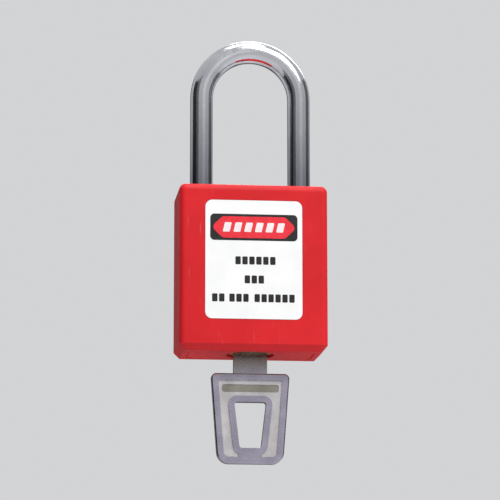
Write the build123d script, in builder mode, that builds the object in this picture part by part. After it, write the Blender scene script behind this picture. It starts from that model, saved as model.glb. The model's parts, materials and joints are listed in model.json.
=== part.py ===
from build123d import *
from math import cos, radians, sin
import os

# Safety padlock with its key in the lock. Millimetres, +Z up.
# The origin is the middle of the body's underside, on the plug's axis: the body stands above it, the key
# hangs below it, and the front faces -Y. The toe leg is on -X and the heel leg on +X.

# ---------------------------------------------------------------- driving dimensions

# how far a cut reaches past the surface that it opens
CUT_MARGIN = 1.0

# body
BODY_WIDTH = 39.0
BODY_DEPTH = 19.5
BODY_HEIGHT = 44.0
SIDE_RADIUS = 1.6
TOP_RADIUS = 1.8
BOTTOM_BEVEL = 1.6
BORE_MOUTH_CHAMFER = 0.4

# shackle
ROD_RADIUS = 3.0
LEG_X = 13.0
CLEAR_HEIGHT = 35.0
LEG_BORE_RADIUS = ROD_RADIUS + 0.08
HEEL_END_Z = 12.0
TOE_END_Z = 35.0
TIP_CHAMFER = 0.8
COLLAR_HEIGHT = 2.5
NECK_RADIUS = 2.0
NECK_TOP_Z = 26.5
LIFT = 9.5

# bottom cap
CAP_WIDTH = 33.0
CAP_DEPTH = 14.0
CAP_THICKNESS = 2.45
CAP_CORNER = 3.0
CAP_CHAMFER = 0.25
CAP_GAP = 0.1
CAP_SEAT_Z = 2.5

# cylinder: housing and plug
HOUSING_RADIUS = 7.5
HOUSING_TOP_Z = 33.0
BIBLE_REACH = 15.5
BIBLE_WIDTH = 7.0
BIBLE_TOP_Z = 32.0
POCKET_GAP = 0.1
PLUG_RADIUS = 5.5
PLUG_BORE_RADIUS = PLUG_RADIUS + 0.05
PLUG_FACE_Z = 0.6
FLANGE_RADIUS = 6.0
FLANGE_TOP_Z = 2.4
FLANGE_CHAMFER = 0.3
CAP_HOLE_RADIUS = FLANGE_RADIUS + 0.3
CLIP_NECK_RADIUS = 4.3
CLIP_NECK_TOP_Z = 33.8
CLIP_RADIUS = 6.2
CLIP_BOTTOM_Z = 33.15
CLIP_THICKNESS = 0.55
CLIP_OPENING = 6.0
PLUG_TOP_Z = 34.3
TANG_WIDTH = 5.0
TANG_THICKNESS = 2.2
TANG_TOP_Z = 35.6
KEYWAY_WIDTH = 7.7
KEYWAY_THICKNESS = 2.4
KEYWAY_TOP_Z = 31.0

# pin stacks
PIN_PITCH = 3.9
FIRST_PIN_Z = 5.0
PIN_RADIUS = 1.45
CHAMBER_RADIUS = 1.52
CUT_DEPTHS = [1.1, 2.1, 0.6, 1.6, 2.6, 1.1]
PIN_TIP_RADIUS = 0.55
KEY_PIN_TOP = 5.3
DRIVER_BOTTOM = 5.62
DRIVER_LENGTH = 4.0
DRIVER_FOOT_CHAMFER = 0.15
DRIVER_HEAD_CHAMFER = 0.25
PIN_GAP = 0.05
CHAMBER_END = 14.65
COVER_THICKNESS = 0.8
COVER_WIDTH = 3.9
COVER_BOTTOM_Z = 3.3
COVER_TOP_Z = 27.0
PIN_SPRING_RADIUS = 1.15
PIN_SPRING_WIRE = 0.3
PIN_SPRING_TURNS = 6

# housing screw
SCREW_X = -LEG_X
SCREW_SEAT_Z = 33.5
SCREW_HEAD_RADIUS = 2.5
SCREW_HEAD_HEIGHT = 1.2
SCREW_SOCKET_FLOOR = 0.4
SCREW_EDGE = 0.4
SCREW_SHANK_RADIUS = 1.5
SCREW_END_Z = 27.4
SCREW_HEX_ACROSS = 2.0

# cam and latches
CAM_RADIUS = 7.8
CAM_BOTTOM_Z = 34.8
CAM_TOP_Z = 37.7
CAM_HUB_RADIUS = 3.4
CAM_HUB_BOTTOM_Z = 34.35
CAM_CHAMBER_RADIUS = 8.2
CAM_CHAMBER_BOTTOM_Z = 33.2
GROOVE_FLOOR_Z = 36.1
GROOVE_GAP = 0.1
GROOVE_STEPS = 12
GROOVE_OVERRUN = 2.0
QUARTER_TURN = 90
LATCH_TRAVEL = 3.5
LATCH_BOTTOM_Z = 38.0
LATCH_TOP_Z = 41.4
LATCH_WIDTH = 5.0
LATCH_INNER_X = 4.4
LATCH_NOSE_X = 11.0
LATCH_NOSE_START_X = 9.8
LATCH_GAP = 0.1
FOLLOWER_X = 6.0
FOLLOWER_RADIUS = 1.0
FOLLOWER_BOTTOM_Z = 36.2
NOTCH_FLOOR_X = 11.3
NOTCH_PLAY_ABOVE = 0.15
NOTCH_PLAY_BELOW = 1.85

# shackle spring and heel stop pin
SPRING_BOTTOM_Z = 2.5
SPRING_COIL_RADIUS = 2.2
SPRING_WIRE = 0.6
SPRING_TURNS = 7
STOP_PIN_RADIUS = 1.0
STOP_PIN_HOLE_RADIUS = STOP_PIN_RADIUS + 0.02
STOP_PIN_PLAY = 0.1
STOP_PIN_CHAMFER = 0.2
STOP_PIN_FRONT_Y = -7.0
STOP_PIN_BACK_Y = 9.3

# labels
LABEL_WIDTH = 25.4
LABEL_HEIGHT = 31.4
LABEL_CORNER = 1.8
LABEL_MIDDLE_Z = 23.8
LABEL_THICKNESS = 0.3
LABEL_RECESS = 0.25
LABEL_GAP = 0.1

# key
BLADE_WIDTH = 7.4
BLADE_THICKNESS = 2.1
BLADE_TIP_Z = 29.5
BLADE_TIP_SLOPE = 3.0
BLADE_BACK_CHAMFER = 1.0
CUT_FLAT = 1.3
NECK_WIDTH = 8.8
BOW_TOP_Z = -4.9
BOW_HEIGHT = 23.7
BOW_TOP_WIDTH = 20.7
BOW_FOOT_WIDTH = 17.2
BOW_TOP_CORNER = 1.3
BOW_FOOT_CORNER = 3.2
BOW_THICKNESS = 2.6
BOW_EDGE_CHAMFER = 0.3
BOW_RIM = 1.8
CHANNEL_DEPTH = 0.5
BAND_WIDTH = 15.0
BAND_HEIGHT = 2.0
BAND_DROP = 3.9
BAND_DEPTH = 0.2
HOLE_TOP_WIDTH = 8.5
HOLE_LOW_WIDTH = 5.7
HOLE_TOP_DROP = 7.5
HOLE_HEIGHT = 12.1
HOLE_CORNER = 0.7
HOLE_RIM = 1.6
WEB_WIDTH = 6.0
GROOVE_WIDTH = 1.4
GROOVE_DEPTH = 0.55
RIDGE_PLAY = 0.15

# ---------------------------------------------------------------- derived values

ARCH_CENTRE_Z = BODY_HEIGHT + CLEAR_HEIGHT - (LEG_X - ROD_RADIUS)
STOP_PIN_X = LEG_X - NECK_RADIUS - STOP_PIN_RADIUS - STOP_PIN_PLAY
STOP_PIN_Z = HEEL_END_Z + COLLAR_HEIGHT + LIFT + STOP_PIN_RADIUS + STOP_PIN_PLAY
BLADE_EDGE_X = -BLADE_WIDTH / 2
BOW_FOOT_Z = BOW_TOP_Z - BOW_HEIGHT
HOLE_TOP_Z = BOW_TOP_Z - HOLE_TOP_DROP
HOLE_LOW_Z = HOLE_TOP_Z - HOLE_HEIGHT
PIN_HEIGHTS = [FIRST_PIN_Z + PIN_PITCH * i for i in range(len(CUT_DEPTHS))]

# The keyway's two ridges, one on each side of the blade: (x of the middle, side of the blade)
RIDGES = [(1.9, 1), (0.2, -1)]


def keep(part, name):
    """Label a finished piece and write it under its node name."""
    part.label = name
    export_step(part, f"parts/{name}.step")


def pin_plane(start, height):
    """A plane across a pin stack at x = -start, whose normal runs outwards along -X."""
    return Plane(origin=(-start, 0, height), x_dir=(0, 1, 0), z_dir=(-1, 0, 0))


os.makedirs("parts", exist_ok=True)

# ---------------------------------------------------------------- body

with BuildPart() as body_shell:
    with BuildSketch():
        Rectangle(BODY_WIDTH, BODY_DEPTH)
    extrude(amount=BODY_HEIGHT)
    fillet(body_shell.edges().filter_by(Axis.Z), radius=SIDE_RADIUS)
    fillet(body_shell.faces().sort_by(Axis.Z)[-1].edges(), radius=TOP_RADIUS)
    chamfer(body_shell.faces().sort_by(Axis.Z)[0].edges(), length=BOTTOM_BEVEL)

    # seat of the bottom cap
    with BuildSketch():
        RectangleRounded(CAP_WIDTH, CAP_DEPTH, CAP_CORNER)
    extrude(amount=CAP_SEAT_Z, mode=Mode.SUBTRACT)

    # pocket of the cylinder, round for the plug with a side arm for the pin chambers
    with BuildSketch(Plane.XY.offset(CAP_SEAT_Z)):
        Circle(HOUSING_RADIUS + POCKET_GAP)
    extrude(amount=CAM_CHAMBER_BOTTOM_Z - CAP_SEAT_Z, mode=Mode.SUBTRACT)
    with BuildSketch(Plane.XY.offset(CAP_SEAT_Z)):
        Rectangle(
            BIBLE_REACH + POCKET_GAP,
            BIBLE_WIDTH + 2 * POCKET_GAP,
            align=(Align.MAX, Align.CENTER),
        )
    extrude(amount=BIBLE_TOP_Z + POCKET_GAP - CAP_SEAT_Z, mode=Mode.SUBTRACT)

    # chamber of the cam, and the channel that the two latches slide in
    with BuildSketch(Plane.XY.offset(CAM_CHAMBER_BOTTOM_Z)):
        Circle(CAM_CHAMBER_RADIUS)
    extrude(amount=LATCH_BOTTOM_Z - LATCH_GAP - CAM_CHAMBER_BOTTOM_Z, mode=Mode.SUBTRACT)
    with BuildSketch(Plane.XY.offset(LATCH_BOTTOM_Z - LATCH_GAP)):
        Rectangle(2 * LEG_X, LATCH_WIDTH + 2 * LATCH_GAP)
    extrude(amount=LATCH_TOP_Z - LATCH_BOTTOM_Z + 2 * LATCH_GAP, mode=Mode.SUBTRACT)

    # the shackle's bores: the heel's runs down to the cap, the toe's ends on the screw's seat
    with BuildSketch(Plane.XY.offset(BODY_HEIGHT)):
        with Locations((LEG_X, 0)):
            Circle(LEG_BORE_RADIUS)
    extrude(amount=CAP_SEAT_Z - BODY_HEIGHT, mode=Mode.SUBTRACT)
    with BuildSketch(Plane.XY.offset(BODY_HEIGHT)):
        with Locations((-LEG_X, 0)):
            Circle(LEG_BORE_RADIUS)
    extrude(amount=SCREW_SEAT_Z - BODY_HEIGHT, mode=Mode.SUBTRACT)
    bore_mouths = body_shell.faces().sort_by(Axis.Z)[-1].inner_wires()
    chamfer(bore_mouths.edges(), length=BORE_MOUTH_CHAMFER)
    with BuildSketch(Plane.XY.offset(SCREW_SEAT_Z)):
        with Locations((SCREW_X, 0)):
            Circle(SCREW_SHANK_RADIUS + POCKET_GAP)
    extrude(amount=BIBLE_TOP_Z - SCREW_SEAT_Z, mode=Mode.SUBTRACT)

    # hole of the heel stop pin, drilled from the back under the back label
    with BuildSketch(Plane.XZ.offset(-BODY_DEPTH / 2)):
        with Locations((STOP_PIN_X, STOP_PIN_Z)):
            Circle(STOP_PIN_HOLE_RADIUS)
    extrude(amount=BODY_DEPTH / 2 - STOP_PIN_FRONT_Y, mode=Mode.SUBTRACT)

    # shallow seats of the two labels
    for side in (-1, 1):
        with BuildSketch(Plane.XZ.offset(-side * BODY_DEPTH / 2)):
            with Locations((0, LABEL_MIDDLE_Z)):
                RectangleRounded(
                    LABEL_WIDTH + 2 * LABEL_GAP,
                    LABEL_HEIGHT + 2 * LABEL_GAP,
                    LABEL_CORNER + LABEL_GAP,
                )
        extrude(amount=side * LABEL_RECESS, mode=Mode.SUBTRACT)
keep(body_shell.part, "body_shell")

with BuildPart() as bottom_cap:
    with BuildSketch():
        RectangleRounded(CAP_WIDTH - 2 * CAP_GAP, CAP_DEPTH - 2 * CAP_GAP, CAP_CORNER - CAP_GAP)
        Circle(CAP_HOLE_RADIUS, mode=Mode.SUBTRACT)
    extrude(amount=CAP_THICKNESS)
    chamfer(bottom_cap.faces().sort_by(Axis.Z)[0].outer_wire().edges(), length=CAP_CHAMFER)
keep(bottom_cap.part, "bottom_cap")

# ---------------------------------------------------------------- labels

for side, label_name in ((-1, "front_label"), (1, "back_label")):
    with BuildPart() as label:
        with BuildSketch(Plane.XZ.offset(-side * (BODY_DEPTH / 2 - LABEL_RECESS))):
            with Locations((0, LABEL_MIDDLE_Z)):
                RectangleRounded(LABEL_WIDTH, LABEL_HEIGHT, LABEL_CORNER)
        extrude(amount=-side * LABEL_THICKNESS)
    keep(label.part, label_name)

# ---------------------------------------------------------------- shackle and what holds it

with BuildPart() as shackle:
    with BuildLine():
        Line((-LEG_X, 0, TOE_END_Z), (-LEG_X, 0, ARCH_CENTRE_Z))
        ThreePointArc(
            (-LEG_X, 0, ARCH_CENTRE_Z),
            (0, 0, ARCH_CENTRE_Z + LEG_X),
            (LEG_X, 0, ARCH_CENTRE_Z),
        )
        Line((LEG_X, 0, ARCH_CENTRE_Z), (LEG_X, 0, HEEL_END_Z))
    with BuildSketch(Plane(origin=(-LEG_X, 0, TOE_END_Z), z_dir=(0, 0, 1))):
        Circle(ROD_RADIUS)
    sweep()
    leg_ends = shackle.faces().filter_by(Axis.Z)
    chamfer(leg_ends.edges(), length=TIP_CHAMFER)

    # neck of the heel leg, which leaves a collar below it
    with BuildSketch(Plane.XY.offset(HEEL_END_Z + COLLAR_HEIGHT)):
        with Locations((LEG_X, 0)):
            Circle(ROD_RADIUS + CUT_MARGIN)
            Circle(NECK_RADIUS, mode=Mode.SUBTRACT)
    extrude(amount=NECK_TOP_Z - HEEL_END_Z - COLLAR_HEIGHT, mode=Mode.SUBTRACT)

    # latch notches, with 45 degree flanks, on the inner side of each leg
    notch_low = LATCH_BOTTOM_Z - LATCH_NOSE_START_X - NOTCH_PLAY_BELOW
    notch_high = LATCH_TOP_Z + LATCH_NOSE_START_X + NOTCH_PLAY_ABOVE
    mouth_x = LEG_X - ROD_RADIUS - CUT_MARGIN
    for side in (-1, 1):
        with BuildSketch(Plane.XZ):
            with BuildLine():
                Polyline(
                    (side * mouth_x, notch_low + mouth_x),
                    (side * NOTCH_FLOOR_X, notch_low + NOTCH_FLOOR_X),
                    (side * NOTCH_FLOOR_X, notch_high - NOTCH_FLOOR_X),
                    (side * mouth_x, notch_high - mouth_x),
                    close=True,
                )
            make_face()
        extrude(amount=ROD_RADIUS + CUT_MARGIN, both=True, mode=Mode.SUBTRACT)
keep(shackle.part, "shackle")

with BuildPart() as shackle_spring:
    spring_rise = HEEL_END_Z - SPRING_BOTTOM_Z - SPRING_WIRE - PIN_GAP
    spring_start = SPRING_BOTTOM_Z + SPRING_WIRE / 2
    with BuildLine() as spring_line:
        Helix(
            pitch=spring_rise / SPRING_TURNS,
            height=spring_rise,
            radius=SPRING_COIL_RADIUS,
            center=(LEG_X, 0, spring_start),
        )
    with BuildSketch(Plane(origin=spring_line.line @ 0, z_dir=spring_line.line % 0)):
        Circle(SPRING_WIRE / 2)
    sweep(is_frenet=True)
keep(shackle_spring.part, "shackle_spring")

with BuildPart() as heel_stop_pin:
    with BuildSketch(Plane.XZ.offset(-STOP_PIN_BACK_Y)):
        with Locations((STOP_PIN_X, STOP_PIN_Z)):
            Circle(STOP_PIN_RADIUS)
    extrude(amount=STOP_PIN_BACK_Y - STOP_PIN_FRONT_Y)
    chamfer(heel_stop_pin.edges(), length=STOP_PIN_CHAMFER)
keep(heel_stop_pin.part, "heel_stop_pin")

# ---------------------------------------------------------------- cylinder

with BuildPart() as cylinder_housing:
    with BuildSketch(Plane.XY.offset(CAP_SEAT_Z)):
        Circle(HOUSING_RADIUS)
    extrude(amount=HOUSING_TOP_Z - CAP_SEAT_Z)
    with BuildSketch(Plane.XY.offset(CAP_SEAT_Z)):
        Rectangle(BIBLE_REACH, BIBLE_WIDTH, align=(Align.MAX, Align.CENTER))
    extrude(amount=BIBLE_TOP_Z - CAP_SEAT_Z)
    with BuildSketch(Plane.XY.offset(CAP_SEAT_Z)):
        Circle(PLUG_BORE_RADIUS)
    extrude(amount=HOUSING_TOP_Z - CAP_SEAT_Z, mode=Mode.SUBTRACT)

    # pin chambers, the seat of their cover, and the screw's hole
    for height in PIN_HEIGHTS:
        with BuildSketch(pin_plane(PLUG_RADIUS - CUT_MARGIN, height)):
            Circle(CHAMBER_RADIUS)
        extrude(amount=BIBLE_REACH - PLUG_RADIUS + CUT_MARGIN, mode=Mode.SUBTRACT)
    with BuildSketch(pin_plane(CHAMBER_END, (COVER_BOTTOM_Z + COVER_TOP_Z) / 2)):
        Rectangle(COVER_WIDTH + 2 * PIN_GAP, COVER_TOP_Z - COVER_BOTTOM_Z + 2 * PIN_GAP)
    extrude(amount=BIBLE_REACH - CHAMBER_END, mode=Mode.SUBTRACT)
    with BuildSketch(Plane.XY.offset(BIBLE_TOP_Z)):
        with Locations((SCREW_X, 0)):
            Circle(SCREW_SHANK_RADIUS)
    extrude(amount=SCREW_END_Z - PIN_GAP - BIBLE_TOP_Z, mode=Mode.SUBTRACT)
keep(cylinder_housing.part, "cylinder_housing")

with BuildPart() as chamber_cover:
    with BuildSketch(pin_plane(CHAMBER_END, (COVER_BOTTOM_Z + COVER_TOP_Z) / 2)):
        Rectangle(COVER_WIDTH, COVER_TOP_Z - COVER_BOTTOM_Z)
    extrude(amount=COVER_THICKNESS)
keep(chamber_cover.part, "chamber_cover")

with BuildPart() as housing_screw:
    with BuildSketch(Plane.XY.offset(SCREW_SEAT_Z)):
        with Locations((SCREW_X, 0)):
            Circle(SCREW_HEAD_RADIUS)
            RegularPolygon(SCREW_HEX_ACROSS / 2, 6, major_radius=False, mode=Mode.SUBTRACT)
    extrude(amount=SCREW_HEAD_HEIGHT)
    with BuildSketch(Plane.XY.offset(SCREW_SEAT_Z)):
        with Locations((SCREW_X, 0)):
            Circle(SCREW_HEAD_RADIUS)
    extrude(amount=SCREW_SOCKET_FLOOR)
    fillet(housing_screw.faces().sort_by(Axis.Z)[-1].outer_wire().edges(), radius=SCREW_EDGE)
    with BuildSketch(Plane.XY.offset(SCREW_END_Z)):
        with Locations((SCREW_X, 0)):
            Circle(SCREW_SHANK_RADIUS)
    extrude(amount=SCREW_SEAT_Z - SCREW_END_Z)
    chamfer(housing_screw.faces().sort_by(Axis.Z)[0].edges(), length=SCREW_EDGE)
keep(housing_screw.part, "housing_screw")

with BuildPart() as plug:
    with BuildSketch(Plane.XZ):
        with BuildLine():
            Polyline(
                (0, PLUG_FACE_Z),
                (FLANGE_RADIUS - FLANGE_CHAMFER, PLUG_FACE_Z),
                (FLANGE_RADIUS, PLUG_FACE_Z + FLANGE_CHAMFER),
                (FLANGE_RADIUS, FLANGE_TOP_Z),
                (PLUG_RADIUS, FLANGE_TOP_Z),
                (PLUG_RADIUS, HOUSING_TOP_Z + PIN_GAP),
                (CLIP_NECK_RADIUS, HOUSING_TOP_Z + PIN_GAP),
                (CLIP_NECK_RADIUS, CLIP_NECK_TOP_Z),
                (PLUG_RADIUS, CLIP_NECK_TOP_Z),
                (PLUG_RADIUS, PLUG_TOP_Z),
                (0, PLUG_TOP_Z),
                close=True,
            )
        make_face()
    revolve(axis=Axis.Z)
    with BuildSketch(Plane.XY.offset(PLUG_TOP_Z)):
        Rectangle(TANG_WIDTH, TANG_THICKNESS)
    extrude(amount=TANG_TOP_Z - PLUG_TOP_Z)

    # chambers of the key pins, then the keyway with its two ridges
    for height in PIN_HEIGHTS:
        with BuildSketch(pin_plane(BLADE_WIDTH / 2 - max(CUT_DEPTHS), height)):
            Circle(CHAMBER_RADIUS)
        extrude(amount=PLUG_RADIUS, mode=Mode.SUBTRACT)
    with BuildSketch(Plane.XY.offset(PLUG_FACE_Z)):
        Rectangle(KEYWAY_WIDTH, KEYWAY_THICKNESS)
        for ridge_x, side in RIDGES:
            with Locations((ridge_x, side * KEYWAY_THICKNESS / 2)):
                Rectangle(
                    GROOVE_WIDTH - 2 * RIDGE_PLAY,
                    2 * (KEYWAY_THICKNESS / 2 - BLADE_THICKNESS / 2 + GROOVE_DEPTH - RIDGE_PLAY),
                    mode=Mode.SUBTRACT,
                )
    extrude(amount=KEYWAY_TOP_Z - PLUG_FACE_Z, mode=Mode.SUBTRACT)
keep(plug.part, "plug")

with BuildPart() as plug_clip:
    with BuildSketch(Plane.XY.offset(CLIP_BOTTOM_Z)):
        Circle(CLIP_RADIUS)
        Circle(CLIP_NECK_RADIUS + PIN_GAP, mode=Mode.SUBTRACT)
        Rectangle(CLIP_OPENING, CLIP_RADIUS, align=(Align.CENTER, Align.MIN), mode=Mode.SUBTRACT)
    extrude(amount=CLIP_THICKNESS)
keep(plug_clip.part, "plug_clip")

# ---------------------------------------------------------------- pin stacks

for number, (height, cut_depth) in enumerate(zip(PIN_HEIGHTS, CUT_DEPTHS), start=1):
    key_pin_foot = BLADE_WIDTH / 2 - cut_depth + PIN_GAP
    with BuildPart() as key_pin:
        with BuildSketch(pin_plane(key_pin_foot, height)):
            Circle(PIN_RADIUS)
        extrude(amount=KEY_PIN_TOP - key_pin_foot)
        chamfer(key_pin.edges().sort_by(Axis.X)[-1], length=PIN_RADIUS - PIN_TIP_RADIUS)
    keep(key_pin.part, f"key_pin_{number}")

    with BuildPart() as driver_pin:
        with BuildSketch(pin_plane(DRIVER_BOTTOM, height)):
            Circle(PIN_RADIUS)
        extrude(amount=DRIVER_LENGTH)
        chamfer(driver_pin.edges().group_by(Axis.X)[0], length=DRIVER_HEAD_CHAMFER)
        chamfer(driver_pin.edges().group_by(Axis.X)[-1], length=DRIVER_FOOT_CHAMFER)
    keep(driver_pin.part, f"driver_pin_{number}")

    driver_top = DRIVER_BOTTOM + DRIVER_LENGTH + PIN_GAP
    spring_length = CHAMBER_END - driver_top - PIN_GAP - PIN_SPRING_WIRE
    with BuildPart() as pin_spring:
        with BuildLine() as spring_line:
            Helix(
                pitch=spring_length / PIN_SPRING_TURNS,
                height=spring_length,
                radius=PIN_SPRING_RADIUS,
                center=(-driver_top - PIN_SPRING_WIRE / 2, 0, height),
                direction=(-1, 0, 0),
            )
        with BuildSketch(Plane(origin=spring_line.line @ 0, z_dir=spring_line.line % 0)):
            Circle(PIN_SPRING_WIRE / 2)
        sweep(is_frenet=True)
    keep(pin_spring.part, f"pin_spring_{number}")

# ---------------------------------------------------------------- cam and latches


def spiral_point(turn, start):
    """The point of the groove that is under a follower when the cam has turned this many degrees.

    The groove's centre line is an Archimedean spiral: a quarter turn draws its latch in by the latch's
    whole travel, and the groove runs a little past both ends of that quarter turn.
    """
    reach = FOLLOWER_X - LATCH_TRAVEL * turn / QUARTER_TURN
    angle = radians(start - turn)
    return (reach * cos(angle), reach * sin(angle))


with BuildPart() as cam:
    with BuildSketch(Plane.XY.offset(CAM_BOTTOM_Z)):
        Circle(CAM_RADIUS)
    extrude(amount=CAM_TOP_Z - CAM_BOTTOM_Z)
    with BuildSketch(Plane.XY.offset(CAM_HUB_BOTTOM_Z)):
        Circle(CAM_HUB_RADIUS)
    extrude(amount=CAM_BOTTOM_Z - CAM_HUB_BOTTOM_Z)
    with BuildSketch(Plane.XY.offset(CAM_HUB_BOTTOM_Z)):
        Rectangle(TANG_WIDTH + 2 * PIN_GAP, TANG_THICKNESS + 2 * PIN_GAP)
    extrude(amount=TANG_TOP_Z + PIN_GAP - CAM_HUB_BOTTOM_Z, mode=Mode.SUBTRACT)
    for start in (0, 180):
        turns = [
            -GROOVE_OVERRUN + (QUARTER_TURN + 2 * GROOVE_OVERRUN) * step / GROOVE_STEPS
            for step in range(GROOVE_STEPS + 1)
        ]
        route = [spiral_point(turn, start) for turn in turns]
        with BuildSketch(Plane.XY.offset(GROOVE_FLOOR_Z)):
            with BuildLine() as centre_line:
                Spline(*route)
            trace(centre_line.line, line_width=2 * (FOLLOWER_RADIUS + GROOVE_GAP))
            with Locations(route[0], route[-1]):
                Circle(FOLLOWER_RADIUS + GROOVE_GAP)
        extrude(amount=CAM_TOP_Z - GROOVE_FLOOR_Z, mode=Mode.SUBTRACT)
keep(cam.part, "cam")

nose_drop = LATCH_NOSE_X - LATCH_NOSE_START_X
for side, latch_name in ((-1, "latch_left"), (1, "latch_right")):
    with BuildPart() as latch:
        with BuildSketch(Plane.XZ):
            with BuildLine():
                Polyline(
                    (side * LATCH_INNER_X, LATCH_BOTTOM_Z),
                    (side * LATCH_NOSE_START_X, LATCH_BOTTOM_Z),
                    (side * LATCH_NOSE_X, LATCH_BOTTOM_Z + nose_drop),
                    (side * LATCH_NOSE_X, LATCH_TOP_Z - nose_drop),
                    (side * LATCH_NOSE_START_X, LATCH_TOP_Z),
                    (side * LATCH_INNER_X, LATCH_TOP_Z),
                    close=True,
                )
            make_face()
        extrude(amount=LATCH_WIDTH / 2, both=True)
        with BuildSketch(Plane.XY.offset(FOLLOWER_BOTTOM_Z)):
            with Locations((side * FOLLOWER_X, 0)):
                Circle(FOLLOWER_RADIUS)
        extrude(amount=LATCH_BOTTOM_Z - FOLLOWER_BOTTOM_Z)
    keep(latch.part, latch_name)

# ---------------------------------------------------------------- key


def trapezoid(top_z, foot_z, top_width, foot_width):
    """The corners of an upright shape whose sides lean in towards its foot."""
    return [
        (-top_width / 2, top_z),
        (top_width / 2, top_z),
        (foot_width / 2, foot_z),
        (-foot_width / 2, foot_z),
    ]


with BuildPart() as key:
    # bow: it narrows downwards, with wide round corners at its foot
    with BuildSketch(Plane.XZ) as bow_outline:
        with BuildLine():
            Polyline(*trapezoid(BOW_TOP_Z, BOW_FOOT_Z, BOW_TOP_WIDTH, BOW_FOOT_WIDTH), close=True)
        make_face()
        fillet(bow_outline.vertices().group_by(Axis.Y)[0], radius=BOW_FOOT_CORNER)
        fillet(bow_outline.vertices().group_by(Axis.Y)[-1], radius=BOW_TOP_CORNER)
    extrude(amount=BOW_THICKNESS / 2, both=True)
    chamfer(key.faces().filter_by(Axis.Y).edges(), length=BOW_EDGE_CHAMFER)
    with BuildSketch(Plane.XZ) as hole_outline:
        with BuildLine():
            Polyline(*trapezoid(HOLE_TOP_Z, HOLE_LOW_Z, HOLE_TOP_WIDTH, HOLE_LOW_WIDTH), close=True)
        make_face()
        fillet(hole_outline.vertices(), radius=HOLE_CORNER)
    extrude(amount=BOW_THICKNESS, both=True, mode=Mode.SUBTRACT)

    # a sunk channel on both faces of the bow, between its rim and the hole's rim, which a web joins below
    # the hole, and a plain sunk band above the hole
    for side in (-1, 1):
        with BuildSketch(Plane.XZ.offset(-side * (BOW_THICKNESS / 2 - CHANNEL_DEPTH))):
            add(offset(bow_outline.sketch, amount=-BOW_RIM, mode=Mode.PRIVATE))
            add(offset(hole_outline.sketch, amount=HOLE_RIM, mode=Mode.PRIVATE), mode=Mode.SUBTRACT)
            with Locations((0, (HOLE_LOW_Z + BOW_FOOT_Z) / 2)):
                Rectangle(WEB_WIDTH, HOLE_LOW_Z - BOW_FOOT_Z, mode=Mode.SUBTRACT)
        extrude(amount=-side * CHANNEL_DEPTH, mode=Mode.SUBTRACT)
        with BuildSketch(Plane.XZ.offset(-side * (BOW_THICKNESS / 2 - CHANNEL_DEPTH - BAND_DEPTH))):
            with Locations((0, BOW_TOP_Z - BAND_DROP)):
                RectangleRounded(BAND_WIDTH, BAND_HEIGHT, BAND_HEIGHT / 3)
        extrude(amount=-side * (CHANNEL_DEPTH + BAND_DEPTH), mode=Mode.SUBTRACT)

    # neck, whose shoulders stop against the plug's face, and the flat blade up to its sloped tip
    with BuildSketch(Plane.XY.offset(BOW_TOP_Z - BOW_RIM)):
        Rectangle(NECK_WIDTH, BLADE_THICKNESS)
    extrude(amount=PLUG_FACE_Z - BOW_TOP_Z + BOW_RIM)
    with BuildSketch(Plane.XZ):
        with BuildLine():
            Polyline(
                (BLADE_EDGE_X, BOW_TOP_Z),
                (-BLADE_EDGE_X, BOW_TOP_Z),
                (-BLADE_EDGE_X, BLADE_TIP_Z - BLADE_BACK_CHAMFER),
                (-BLADE_EDGE_X - BLADE_BACK_CHAMFER, BLADE_TIP_Z),
                (BLADE_EDGE_X + BLADE_TIP_SLOPE, BLADE_TIP_Z),
                (BLADE_EDGE_X, BLADE_TIP_Z - BLADE_TIP_SLOPE),
                close=True,
            )
        make_face()
    extrude(amount=BLADE_THICKNESS / 2, both=True)

    # bitting cuts, flat at the root with 45 degree flanks
    for height, cut_depth in zip(PIN_HEIGHTS, CUT_DEPTHS):
        mouth_x = BLADE_EDGE_X - CUT_MARGIN
        half_mouth = CUT_FLAT / 2 + cut_depth + CUT_MARGIN
        with BuildSketch(Plane.XZ):
            with BuildLine():
                Polyline(
                    (mouth_x, height - half_mouth),
                    (BLADE_EDGE_X + cut_depth, height - CUT_FLAT / 2),
                    (BLADE_EDGE_X + cut_depth, height + CUT_FLAT / 2),
                    (mouth_x, height + half_mouth),
                    close=True,
                )
            make_face()
        extrude(amount=BLADE_THICKNESS, both=True, mode=Mode.SUBTRACT)

    # a groove along each side of the blade, for the keyway's ridges
    with BuildSketch(Plane.XY.offset(PLUG_FACE_Z)):
        for ridge_x, side in RIDGES:
            with Locations((ridge_x, side * BLADE_THICKNESS / 2)):
                Rectangle(GROOVE_WIDTH, 2 * GROOVE_DEPTH)
    extrude(amount=BLADE_TIP_Z - PLUG_FACE_Z, mode=Mode.SUBTRACT)
keep(key.part, "key")
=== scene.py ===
"""Looks of a safety padlock with its key in the lock: materials, the labels' print, light and camera.

The CAD nodes keep their shapes. This script gives every node a procedural material, adds the print on the
two labels as thin raised pieces, and hangs the padlock free above a pale floor.
"""

import json
import math

import bmesh
import bpy
from mathutils import Matrix, Vector


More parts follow.
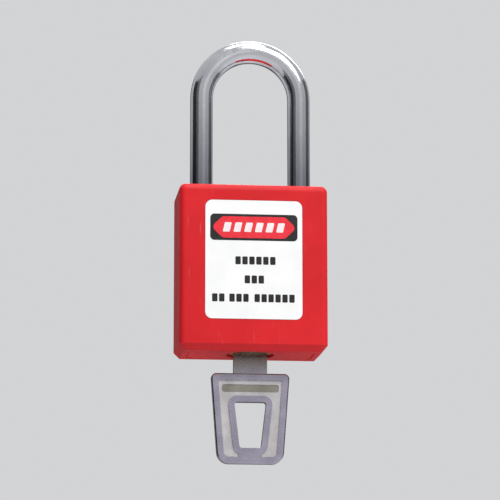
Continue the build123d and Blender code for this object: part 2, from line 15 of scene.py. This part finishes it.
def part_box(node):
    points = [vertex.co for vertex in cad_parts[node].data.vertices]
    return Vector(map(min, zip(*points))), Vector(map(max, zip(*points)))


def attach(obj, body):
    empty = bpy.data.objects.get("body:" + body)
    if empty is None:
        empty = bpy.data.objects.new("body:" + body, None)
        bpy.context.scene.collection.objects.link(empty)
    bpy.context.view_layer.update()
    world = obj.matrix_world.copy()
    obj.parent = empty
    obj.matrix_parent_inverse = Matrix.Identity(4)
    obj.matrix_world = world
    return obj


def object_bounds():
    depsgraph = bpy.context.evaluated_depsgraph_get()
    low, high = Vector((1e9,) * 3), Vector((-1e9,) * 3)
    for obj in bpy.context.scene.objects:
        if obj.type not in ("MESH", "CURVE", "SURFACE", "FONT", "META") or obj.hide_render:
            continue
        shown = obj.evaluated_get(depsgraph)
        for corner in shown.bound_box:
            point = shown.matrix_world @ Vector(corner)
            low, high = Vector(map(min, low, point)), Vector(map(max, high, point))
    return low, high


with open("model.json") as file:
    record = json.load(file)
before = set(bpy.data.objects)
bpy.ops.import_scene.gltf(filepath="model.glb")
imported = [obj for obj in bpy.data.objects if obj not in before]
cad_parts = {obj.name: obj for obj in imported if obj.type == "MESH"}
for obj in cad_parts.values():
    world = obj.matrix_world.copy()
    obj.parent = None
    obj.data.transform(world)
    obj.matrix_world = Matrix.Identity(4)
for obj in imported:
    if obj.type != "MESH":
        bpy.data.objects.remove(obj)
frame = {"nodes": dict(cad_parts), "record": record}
CAD_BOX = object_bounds()

MM = 0.001

# ---------------------------------------------------------------- helpers for the camera, stage and print


def studio_direction(azimuth, elevation):
    """The way to a place in the studio, in degrees: azimuth 0 is the padlock's front, and 90 its +X side."""
    turn = math.radians(azimuth)
    rise = math.radians(elevation)
    return Vector(
        (
            math.sin(turn) * math.cos(rise),
            -math.cos(turn) * math.cos(rise),
            math.sin(rise),
        )
    )


def add_object(name, data):
    """A new object in the scene."""
    thing = bpy.data.objects.new(name, data)
    bpy.context.scene.collection.objects.link(thing)
    return thing


def add_mesh(name, bm, material):
    """A new object whose mesh is the finished bmesh."""
    mesh = bpy.data.meshes.new(name)
    bm.to_mesh(mesh)
    bm.free()
    mesh.materials.append(material)
    return add_object(name, mesh)


def aim(thing, direction):
    """Turns a camera or a light, which look along their own -Z, to look this way."""
    thing.rotation_mode = "QUATERNION"
    thing.rotation_quaternion = direction.to_track_quat("-Z", "Y")


# ---------------------------------------------------------------- camera

AZIMUTH = -6.0
ELEVATION = -11.0
LENS = 200.0
SENSOR = 36.0

# The share of the picture's height that the padlock takes
FILL = 0.86


def make_camera():
    """A long lens that looks at the padlock's middle from a little left of its front, and from below."""
    low, high = CAD_BOX
    middle = (low + high) / 2
    view_height = (high.z - low.z) / FILL
    towards_camera = studio_direction(AZIMUTH, ELEVATION)
    data = bpy.data.cameras.new("camera")
    data.lens = LENS
    data.sensor_width = SENSOR
    camera = add_object("camera", data)
    camera.location = middle + towards_camera * (view_height * LENS / SENSOR)
    aim(camera, -towards_camera)
    bpy.context.scene.camera = camera


# ---------------------------------------------------------------- stage: floor, world, lights and cards

WORLD_COLOUR = (0.90, 0.91, 0.93)
WORLD_STRENGTH = 0.72

STAGE_ROUGHNESS = 0.8
STAGE_SPECULAR = 0.1

FLOOR_Z = -0.72
FLOOR_RADIUS = 14.0
FLOOR_SIDES = 96
FLOOR_COLOUR = (0.78, 0.78, 0.79)

# The floor glows faintly, so that it is as light as the world behind it
FLOOR_GLOW = 0.17

# Each light: name, azimuth, elevation, (width, height) in metres, watts, colour
LIGHT_DISTANCE = 1.0
LIGHTS = [
    ("main_light", 30, 46, (0.6, 0.5), 6.9, (1.0, 0.985, 0.96)),
    ("top_light", 10, 86, (0.5, 0.5), 3.0, (1.0, 1.0, 1.0)),
    ("rim_light", 160, 40, (0.6, 0.4), 3.0, (0.95, 0.97, 1.0)),
]

# Each card: name, azimuths that it spans, elevations that it spans, shade, glow, and the kind of surface
# that it is there for. The matt one shades the plastic's left side. The steel takes its streaks from the
# glossy ones, and the back card keeps the glancing faces of the plastic from going grey.
CARD_DISTANCE = 1.3
CARD_COLUMNS = 8
CARDS = [
    ("left_shade", (-142, -58), (-30, 40), 0.05, 0.0, "matt"),
    ("left_card", (-104, -58), (-24, 34), 0.10, 0.0, "glossy"),
    ("front_left_card", (-58, -34), (-20, 34), 0.22, 0.0, "glossy"),
    ("core_card", (6, 34), (-4, 30), 0.8, 0.34, "glossy"),
    ("right_card", (74, 120), (-20, 34), 0.20, 0.0, "glossy"),
    ("back_card", (146, 214), (-34, 28), 0.16, 0.0, "glossy"),
]


def make_world():
    world = bpy.data.worlds.new("world")
    bpy.context.scene.world = world
    world.use_nodes = True
    background = world.node_tree.nodes["Background"]
    background.inputs["Color"].default_value = (*WORLD_COLOUR, 1)
    background.inputs["Strength"].default_value = WORLD_STRENGTH


def stage_material(name, colour, glow):
    """Plain matt paper for the floor and the cards, which may glow."""
    material = bpy.data.materials.new(name)
    material.use_nodes = True
    shader = material.node_tree.nodes["Principled BSDF"]
    shader.inputs["Base Color"].default_value = (*colour, 1)
    shader.inputs["Roughness"].default_value = STAGE_ROUGHNESS
    shader.inputs["Specular IOR Level"].default_value = STAGE_SPECULAR
    shader.inputs["Emission Color"].default_value = (*colour, 1)
    shader.inputs["Emission Strength"].default_value = glow
    return material


def make_floor():
    """A round floor, far wider than the view."""
    bm = bmesh.new()
    rim = []
    for i in range(FLOOR_SIDES):
        angle = 2 * math.pi * i / FLOOR_SIDES
        rim.append(bm.verts.new((FLOOR_RADIUS * math.cos(angle), FLOOR_RADIUS * math.sin(angle), FLOOR_Z)))
    bm.faces.new(rim)
    add_mesh("floor", bm, stage_material("floor_paper", FLOOR_COLOUR, FLOOR_GLOW))


def make_light(name, azimuth, elevation, size, power, colour):
    """A soft rectangular light, aimed at the padlock's middle."""
    low, high = CAD_BOX
    data = bpy.data.lights.new(name, "AREA")
    data.shape = "RECTANGLE"
    data.size, data.size_y = size
    data.energy = power
    data.color = colour
    light = add_object(name, data)
    light.location = studio_direction(azimuth, elevation) * LIGHT_DISTANCE
    aim(light, (low + high) / 2 - light.location)
    light.visible_camera = False


def make_card(name, azimuths, elevations, shade, glow, surfaces):
    """A curved studio card, which the camera doesn't see."""
    bm = bmesh.new()
    first, last = azimuths
    rows = []
    for elevation in elevations:
        row = []
        for i in range(CARD_COLUMNS + 1):
            azimuth = first + (last - first) * i / CARD_COLUMNS
            row.append(bm.verts.new(studio_direction(azimuth, elevation) * CARD_DISTANCE))
        rows.append(row)
    foot, top = rows
    for i in range(CARD_COLUMNS):
        bm.faces.new((foot[i], foot[i + 1], top[i + 1], top[i]))
    card = add_mesh(name, bm, stage_material(f"{name}_surface", (shade, shade, shade), glow))
    card.visible_camera = False
    card.visible_diffuse = surfaces == "matt"
    card.visible_glossy = surfaces == "glossy"
    card.visible_shadow = False


def make_stage():
    bpy.context.scene.view_settings.view_transform = "Standard"
    make_world()
    make_floor()
    for light in LIGHTS:
        make_light(*light)
    for card in CARDS:
        make_card(*card)


# ---------------------------------------------------------------- colours, alone or as (darker, lighter)

RED_NYLON = ((0.60, 0.010, 0.015), (0.68, 0.013, 0.019))
SCUFFED_NYLON = (0.85, 0.30, 0.30)
WHITE_VINYL = ((0.87, 0.875, 0.875), (0.93, 0.93, 0.925))
BLACK_INK = ((0.010, 0.011, 0.011), (0.020, 0.020, 0.021))
RED_INK = ((0.74, 0.022, 0.038), (0.84, 0.032, 0.050))
WHITE_INK = ((0.85, 0.76, 0.76), (0.92, 0.84, 0.84))
BRIGHT_STEEL = ((0.58, 0.585, 0.62), (0.68, 0.685, 0.72))
# Painted shade for the shackle's legs near the body
SHADED_STEEL = (0.19, 0.195, 0.22)
CHANNEL_NICKEL = ((0.50, 0.48, 0.49), (0.62, 0.60, 0.61))
RUBBED_NICKEL = ((0.33, 0.305, 0.385), (0.42, 0.385, 0.47))
# Painted shade for the key's deeper band
BAND_SHADE_NICKEL = ((0.24, 0.235, 0.20), (0.32, 0.31, 0.27))
# Painted shadow for the key's neck just below the lock
NECK_SHADOW_NICKEL = (0.20, 0.185, 0.175)
BRASS = ((0.62, 0.44, 0.20), (0.74, 0.55, 0.27))
ZINC = ((0.36, 0.37, 0.39), (0.45, 0.46, 0.48))
SPRING_STEEL = ((0.42, 0.42, 0.44), (0.52, 0.52, 0.54))

# ---------------------------------------------------------------- materials


class Paint:
    """A Principled material under construction, with the few node chains that the padlock needs."""

    def __init__(self, name, **values):
        self.material = bpy.data.materials.new(name)
        self.material.use_nodes = True
        self.tree = self.material.node_tree
        self.shader = self.tree.nodes["Principled BSDF"]
        self.place = self.tree.nodes.new("ShaderNodeTexCoord").outputs["Object"]
        for socket, value in values.items():
            self.shader.inputs[socket.replace("_", " ")].default_value = value

    def along(self, axis):
        """How far a point lies along X, Y or Z, in metres."""
        node = self.tree.nodes.new("ShaderNodeSeparateXYZ")
        self.tree.links.new(self.place, node.inputs["Vector"])
        return node.outputs[axis]

    def arithmetic(self, operation, *sockets):
        """One step of arithmetic on one or two sockets."""
        node = self.tree.nodes.new("ShaderNodeMath")
        node.operation = operation
        for target, socket in zip(node.inputs, sockets):
            self.tree.links.new(socket, target)
        return node.outputs["Value"]

    def noise(self, size, detail=3.0, stretch=(1, 1, 1), turn=(0, 0, 0)):
        """Noise whose blotches are about this many metres across, times the stretch along each axis. The
        turn, in degrees, comes after the stretch, so it only picks another part of the noise."""
        mapping = self.tree.nodes.new("ShaderNodeMapping")
        mapping.inputs["Scale"].default_value = [1 / (size * factor) for factor in stretch]
        mapping.inputs["Rotation"].default_value = [math.radians(angle) for angle in turn]
        noise = self.tree.nodes.new("ShaderNodeTexNoise")
        noise.inputs["Scale"].default_value = 1.0
        noise.inputs["Detail"].default_value = detail
        self.tree.links.new(self.place, mapping.inputs["Vector"])
        self.tree.links.new(mapping.outputs["Vector"], noise.inputs["Vector"])
        return noise.outputs["Fac"]

    def ramp(self, value, low, high, from_low=0.35, from_high=0.65):
        """Maps a value's range from from_low to from_high onto low to high, and holds it there."""
        node = self.tree.nodes.new("ShaderNodeMapRange")
        node.inputs["From Min"].default_value = from_low
        node.inputs["From Max"].default_value = from_high
        node.inputs["To Min"].default_value = low
        node.inputs["To Max"].default_value = high
        self.tree.links.new(value, node.inputs["Value"])
        return node.outputs["Result"]

    def mix(self, share, first, second):
        """A colour between two, each a colour or a socket."""
        node = self.tree.nodes.new("ShaderNodeMix")
        node.data_type = "RGBA"
        self.tree.links.new(share, node.inputs["Factor"])
        for name, colour in (("A", first), ("B", second)):
            target = [s for s in node.inputs if s.name == name and s.type == "RGBA"][0]
            if isinstance(colour, tuple):
                target.default_value = (*colour, 1)
            else:
                self.tree.links.new(colour, target)
        return [s for s in node.outputs if s.type == "RGBA"][0]

    def clouds(self, size, colours, detail=3.0):
        """A colour that drifts between two, in blotches about this many metres across."""
        return self.mix(self.ramp(self.noise(size, detail), 0.0, 1.0), *colours)

    def colour(self, socket):
        self.tree.links.new(socket, self.shader.inputs["Base Color"])

    def roughness(self, socket):
        self.tree.links.new(socket, self.shader.inputs["Roughness"])

    def bump(self, *layers):
        """Layers of (height socket, depth in metres), from the coarsest to the finest."""
        previous = None
        for height, depth in layers:
            node = self.tree.nodes.new("ShaderNodeBump")
            node.inputs["Strength"].default_value = 1.0
            node.inputs["Distance"].default_value = depth
            self.tree.links.new(height, node.inputs["Height"])
            if previous is not None:
                self.tree.links.new(previous, node.inputs["Normal"])
            previous = node.outputs["Normal"]
        self.tree.links.new(previous, self.shader.inputs["Normal"])


SEAM_WIDTH = 0.25 * MM
SEAM_DEPTH = 0.05 * MM


def red_nylon():
    """Moulded nylon: a fine spark-eroded grain, a faint mould seam round the sides and a few scuffs."""
    paint = Paint("red_nylon", Specular_IOR_Level=0.2, IOR=1.53)
    red = paint.clouds(14 * MM, RED_NYLON)
    scratches = paint.noise(0.5 * MM, detail=4, stretch=(1, 1, 16), turn=(0, 35, 0))
    scuffs = paint.ramp(scratches, 0.0, 0.16, from_low=0.66, from_high=0.74)
    paint.colour(paint.mix(scuffs, red, SCUFFED_NYLON))
    paint.roughness(paint.ramp(paint.noise(3 * MM, detail=5), 0.38, 0.50))
    from_seam = paint.arithmetic("ABSOLUTE", paint.along("Y"))
    seam = paint.ramp(from_seam, 1.0, 0.0, from_low=0.0, from_high=SEAM_WIDTH / 2)
    waves = paint.noise(9 * MM)
    grain = paint.noise(0.32 * MM, detail=2)
    paint.bump((waves, 0.03 * MM), (seam, SEAM_DEPTH), (grain, 0.014 * MM))
    return paint.material


def label_vinyl():
    """White vinyl under a thin clear coat, with a very fine grain."""
    paint = Paint("label_vinyl", Specular_IOR_Level=0.4, Coat_Weight=0.2, Coat_Roughness=0.2)
    paint.colour(paint.clouds(9 * MM, WHITE_VINYL))
    paint.roughness(paint.ramp(paint.noise(2 * MM, detail=4), 0.38, 0.5))
    grain = paint.noise(0.5 * MM, detail=2)
    paint.bump((grain, 0.004 * MM))
    return paint.material


def print_ink(name, colours):
    """Slightly uneven ink."""
    paint = Paint(name, Specular_IOR_Level=0.3)
    paint.colour(paint.clouds(1.6 * MM, colours, detail=4))
    paint.roughness(paint.ramp(paint.noise(0.8 * MM), 0.38, 0.55))
    grain = paint.noise(0.25 * MM, detail=2)
    paint.bump((grain, 0.003 * MM))
    return paint.material


# The heights between which the painted shade on the shackle's legs goes from full to none, darker towards
# the body
FULL_SHADE_Z = 42 * MM
UNSHADED_Z = 80 * MM


def polished_steel():
    """Polished steel, with fine scratches along its legs, and painted shade that darkens the legs towards
    the body.
    """
    paint = Paint("polished_steel", Metallic=1.0)
    steel = paint.clouds(6 * MM, BRIGHT_STEEL)
    # Painted shade: the legs darken from the bright steel to the shaded steel towards the body
    leg_shade = paint.ramp(paint.along("Z"), 1.0, 0.0, FULL_SHADE_Z, UNSHADED_Z)
    paint.colour(paint.mix(leg_shade, steel, SHADED_STEEL))
    scratches = paint.noise(0.4 * MM, stretch=(1, 1, 16))
    paint.roughness(paint.ramp(scratches, 0.08, 0.19))
    waves = paint.noise(5 * MM, detail=2)
    paint.bump((waves, 0.01 * MM), (scratches, 0.0012 * MM))
    return paint.material


# How far the faces of the key's bow lie from its middle plane
RIM_FACE_Y = 1.3 * MM
CHANNEL_FLOOR_Y = 0.8 * MM
BAND_FLOOR_Y = 0.6 * MM

# How far each of the bow's colours runs onto the walls between its faces
FLOOR_MARGIN = 0.05 * MM
CHANNEL_MARGIN = 0.1 * MM
RIM_MARGIN = 0.25 * MM

# The heights between which the key's neck goes from the bow's colours to a painted shadow, darkest just
# below the lock
NECK_SHADOW_START_Z = -7 * MM
NECK_SHADOW_FULL_Z = -2 * MM


def worn_nickel():
    """Plated key: rims rubbed smooth and grey-violet by the hand, a bright matt channel, painted shade in
    the deeper band and a painted shadow on the neck below the lock."""
    paint = Paint("worn_nickel", Metallic=1.0)
    cloud = paint.ramp(paint.noise(5 * MM, detail=4), 0.0, 1.0)
    channel = paint.mix(cloud, *CHANNEL_NICKEL)
    rim = paint.mix(cloud, *RUBBED_NICKEL)
    # Painted shade: the deeper band is darker where the rim above shades it
    band_shade = paint.mix(cloud, *BAND_SHADE_NICKEL)
    depth = paint.arithmetic("ABSOLUTE", paint.along("Y"))
    on_channel = paint.ramp(depth, 0.0, 1.0, BAND_FLOOR_Y + FLOOR_MARGIN, CHANNEL_FLOOR_Y - FLOOR_MARGIN)
    on_rim = paint.ramp(depth, 0.0, 1.0, CHANNEL_FLOOR_Y + CHANNEL_MARGIN, RIM_FACE_Y - RIM_MARGIN)
    relief = paint.mix(on_rim, paint.mix(on_channel, band_shade, channel), rim)
    # Painted shadow: the neck darkens towards the lock, where the body shades it
    neck_shadow = paint.ramp(paint.along("Z"), 0.0, 1.0, NECK_SHADOW_START_Z, NECK_SHADOW_FULL_Z)
    paint.colour(paint.mix(neck_shadow, relief, NECK_SHADOW_NICKEL))
    brushing = paint.noise(0.22 * MM, detail=4, stretch=(7, 1, 1))
    matt = paint.ramp(on_rim, 0.42, 0.26, from_low=0.0, from_high=1.0)
    paint.roughness(paint.arithmetic("ADD", matt, paint.ramp(brushing, -0.05, 0.07)))
    waves = paint.noise(2.5 * MM, detail=2)
    paint.bump((waves, 0.012 * MM), (brushing, 0.0025 * MM))
    return paint.material


def plain_metal(name, colours, smooth, rough, grain, depth):
    """A metal with cloudy colour, uneven polish and a fine grain."""
    paint = Paint(name, Metallic=1.0)
    paint.colour(paint.clouds(4 * MM, colours, detail=4))
    surface = paint.noise(grain, detail=4)
    paint.roughness(paint.ramp(surface, smooth, rough))
    paint.bump((surface, depth))
    return paint.material


def dress_nodes():
    """Gives every CAD node the material of its slot."""
    by_slot = {
        "body_red": red_nylon(),
        "label_white": label_vinyl(),
        "shackle_steel": polished_steel(),
        "key_nickel": worn_nickel(),
        "plug_brass": plain_metal(
            "machined_brass", BRASS, smooth=0.2, rough=0.34, grain=0.3 * MM, depth=0.003 * MM
        ),
        "zinc": plain_metal("cast_zinc", ZINC, smooth=0.4, rough=0.55, grain=0.6 * MM, depth=0.012 * MM),
        "spring_steel": plain_metal(
            "spring_steel", SPRING_STEEL, smooth=0.22, rough=0.36, grain=0.4 * MM, depth=0.003 * MM
        ),
    }
    slot_of = {part["node"]: part["material_slot"] for part in frame["record"]["subparts"]}
    for name, node in frame["nodes"].items():
        node.data.materials.clear()
        node.data.materials.append(by_slot[slot_of[name]])


# ---------------------------------------------------------------- print on the labels

PRINT_RISE = 0.03 * MM
CORNER_STEPS = 8
HEADER_SIZE = (22.9 * MM, 7.0 * MM)
HEADER_CORNER = 1.1 * MM
HEADER_DROP = 7.2 * MM
FIELD_SIZE = (22.4 * MM, 5.7 * MM)
FIELD_FLAT = 16.4 * MM
FIELD_CORNER = 1.3 * MM
MARK_SIZE = (1.8 * MM, 2.5 * MM)
MARK_LEAN = 0.6 * MM
MARK_CORNER = 0.25 * MM
MARK_PITCH = 2.8 * MM
MARKS = 6
BLOCK_SIZE = (1.4 * MM, 2.1 * MM)
BLOCK_CORNER = 0.25 * MM
BLOCK_PITCH = 1.82 * MM
RULE_SIZE = (21.0 * MM, 0.35 * MM)
RULE_CORNER = 0.1 * MM
RULE_DROPS = (16.5 * MM, 21.5 * MM, 26.5 * MM)

# The rows of small blocks that stand for the words of the front label, line by line: how far the line's
# middle is below the label's top edge, then each word's middle and how many blocks it has
LINES = [
    (16.0 * MM, [(0.4 * MM, 6)]),
    (21.0 * MM, [(0.1 * MM, 3)]),
    (25.9 * MM, [(-9.3 * MM, 2), (-3.9 * MM, 3), (5.4 * MM, 6)]),
]


def rectangle(width, height, lean=0.0):
    """The corners of a rectangle about its middle, whose top lies this far sideways of its foot."""
    x = width / 2
    z = height / 2
    shift = lean / 2
    return [
        Vector((x + shift, z)),
        Vector((shift - x, z)),
        Vector((-x - shift, -z)),
        Vector((x - shift, -z)),
    ]


def pointed_field(width, height, flat):
    """The corners of a long field with a flat top and foot, whose ends come to a point."""
    z = height / 2
    right = [Vector((flat / 2, -z)), Vector((width / 2, 0)), Vector((flat / 2, z))]
    return right + [-corner for corner in right]


def rounded(corners, radius):
    """The outline with these corners, which run anticlockwise, each rounded to this radius."""
    points = []
    for i, corner in enumerate(corners):
        back = (corners[i - 1] - corner).normalized()
        ahead = (corners[(i + 1) % len(corners)] - corner).normalized()
        half = back.angle(ahead) / 2
        centre = corner + (back + ahead).normalized() * radius / math.sin(half)
        spoke = corner + back * radius / math.tan(half) - centre
        for step in range(CORNER_STEPS + 1):
            turn = Matrix.Rotation((math.pi - 2 * half) * step / CORNER_STEPS, 2)
            points.append(centre + turn @ spoke)
    return points


def in_row(outline, middle, drop, count, pitch):
    """This many copies of an outline side by side about a middle, as print_piece takes them."""
    return [(outline, middle + pitch * (i - (count - 1) / 2), drop) for i in range(count)]


def print_piece(name, label, shapes, layer, material):
    """Thin flat prints on a label: each shape is its outline, and the place of its middle across the label
    and below the label's top edge. Layer 1 lies on the label, layer 2 on layer 1 and so on."""
    low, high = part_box(label)
    facing = -1 if label == "front_label" else 1
    surface = low.y if facing < 0 else high.y
    middle_x = (low.x + high.x) / 2
    bm = bmesh.new()
    for outline, across, drop in shapes:
        rings = []
        for level in (layer - 1, layer):
            ring = []
            for point in outline:
                x = middle_x - facing * (across + point.x)
                y = surface + facing * level * PRINT_RISE
                ring.append(bm.verts.new((x, y, high.z - drop + point.y)))
            rings.append(ring)
        foot, top = rings
        bm.faces.new(foot)
        bm.faces.new(top)
        for i in range(len(outline)):
            bm.faces.new((foot[i - 1], foot[i], top[i], top[i - 1]))
    bmesh.ops.recalc_face_normals(bm, faces=bm.faces)
    piece = add_mesh(name, bm, material)
    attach(piece, "body")


def print_labels():
    """The same header on both labels, blocks for words on the front one and rules on the back one."""
    black = print_ink("ink_black", BLACK_INK)
    red = print_ink("ink_red", RED_INK)
    white = print_ink("ink_white", WHITE_INK)
    header = rounded(rectangle(*HEADER_SIZE), HEADER_CORNER), 0, HEADER_DROP
    field = rounded(pointed_field(*FIELD_SIZE, FIELD_FLAT), FIELD_CORNER), 0, HEADER_DROP
    for side in ("front", "back"):
        print_piece(f"{side}_header", f"{side}_label", [header], 1, black)
        print_piece(f"{side}_header_field", f"{side}_label", [field], 2, red)

    mark = rounded(rectangle(*MARK_SIZE, MARK_LEAN), MARK_CORNER)
    marks = in_row(mark, 0, HEADER_DROP, MARKS, MARK_PITCH)
    print_piece("front_header_marks", "front_label", marks, 3, white)
    block = rounded(rectangle(*BLOCK_SIZE), BLOCK_CORNER)
    blocks = []
    for drop, words in LINES:
        for middle, count in words:
            blocks += in_row(block, middle, drop, count, BLOCK_PITCH)
    print_piece("front_lines", "front_label", blocks, 1, black)
    rule = rounded(rectangle(*RULE_SIZE), RULE_CORNER)
    rules = [(rule, 0, drop) for drop in RULE_DROPS]
    print_piece("back_rules", "back_label", rules, 1, black)


# ---------------------------------------------------------------- making

make_camera()
make_stage()
dress_nodes()
print_labels()
